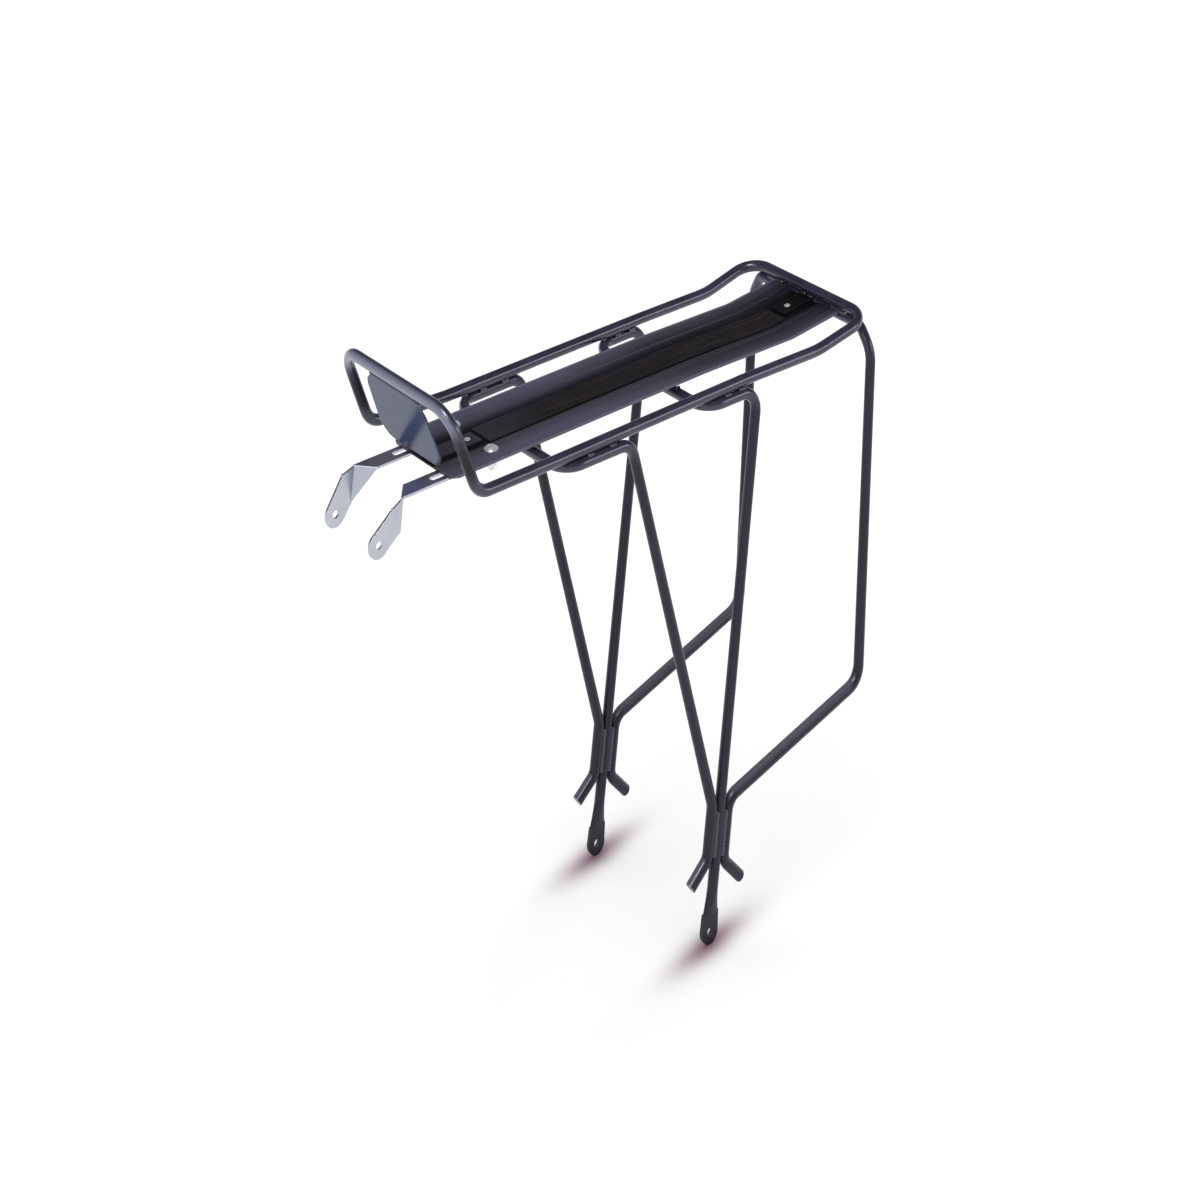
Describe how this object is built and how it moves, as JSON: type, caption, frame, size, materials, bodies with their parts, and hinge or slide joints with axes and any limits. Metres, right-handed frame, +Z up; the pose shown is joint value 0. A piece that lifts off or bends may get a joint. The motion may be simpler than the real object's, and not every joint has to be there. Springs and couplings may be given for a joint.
{
  "type": "bicycle rear rack",
  "caption": "Bent-rod bicycle rear rack with a ribbed deck, a leaning front hoop and plate, braced legs with flattened foot eyelets, and adjustable slotted front stays.",
  "frame": {"origin": "midway between the two foot eyelet holes, on their common axis", "axes": "+X points forward along the bicycle, +Y to the bicycle's left along the eyelet axis, +Z up"},
  "size_m": [0.482, 0.1564, 0.4365],
  "materials": {
    "black_paint": "gloss black paint with a blue-violet cast",
    "deck_paint": "satin black paint on a ribbed extrusion",
    "plate_paint": "glossy blue-grey painted sheet",
    "grip_rubber": "matte ribbed rubber",
    "zinc_steel": "bright zinc-plated strip",
    "bright_steel": "polished fasteners"
  },
  "bodies": {
    "root": {"platform_loop": "black_paint", "front_leg_hoop": "black_paint", "middle_leg_hoop": "black_paint", "rear_leg_hoop": "black_paint", "deck_panel": "deck_paint", "grip_strip": "grip_rubber", "front_plate": "plate_paint", "rear_tab": "black_paint", "front_rivet": "bright_steel", "rear_rivet": "bright_steel"},
    "left_clamp": {"left_stay_bolt": "bright_steel", "left_stay_washer": "bright_steel", "left_lock_washer": "bright_steel", "left_stay_nut": "bright_steel"},
    "left_arm": {"left_stay": "zinc_steel"},
    "right_clamp": {"right_stay_bolt": "bright_steel", "right_stay_washer": "bright_steel", "right_lock_washer": "bright_steel", "right_stay_nut": "bright_steel"},
    "right_arm": {"right_stay": "zinc_steel"}
  },
  "joints": [
    {"name": "left_stay_swivel", "type": "hinge", "parent": "root", "child": "left_clamp", "pos_m": [0.168, 0.025, 0.361], "axis": [0, 0, 1], "range_deg": [-6, 6]},
    {"name": "left_stay_slide", "type": "slide", "parent": "left_clamp", "child": "left_arm", "axis": [1, 0, 0], "range_m": [-0.05, 0.006]},
    {"name": "right_stay_swivel", "type": "hinge", "parent": "root", "child": "right_clamp", "pos_m": [0.168, -0.025, 0.361], "axis": [0, 0, 1], "range_deg": [-6, 6]},
    {"name": "right_stay_slide", "type": "slide", "parent": "right_clamp", "child": "right_arm", "axis": [1, 0, 0], "range_m": [-0.05, 0.006]}
  ]
}
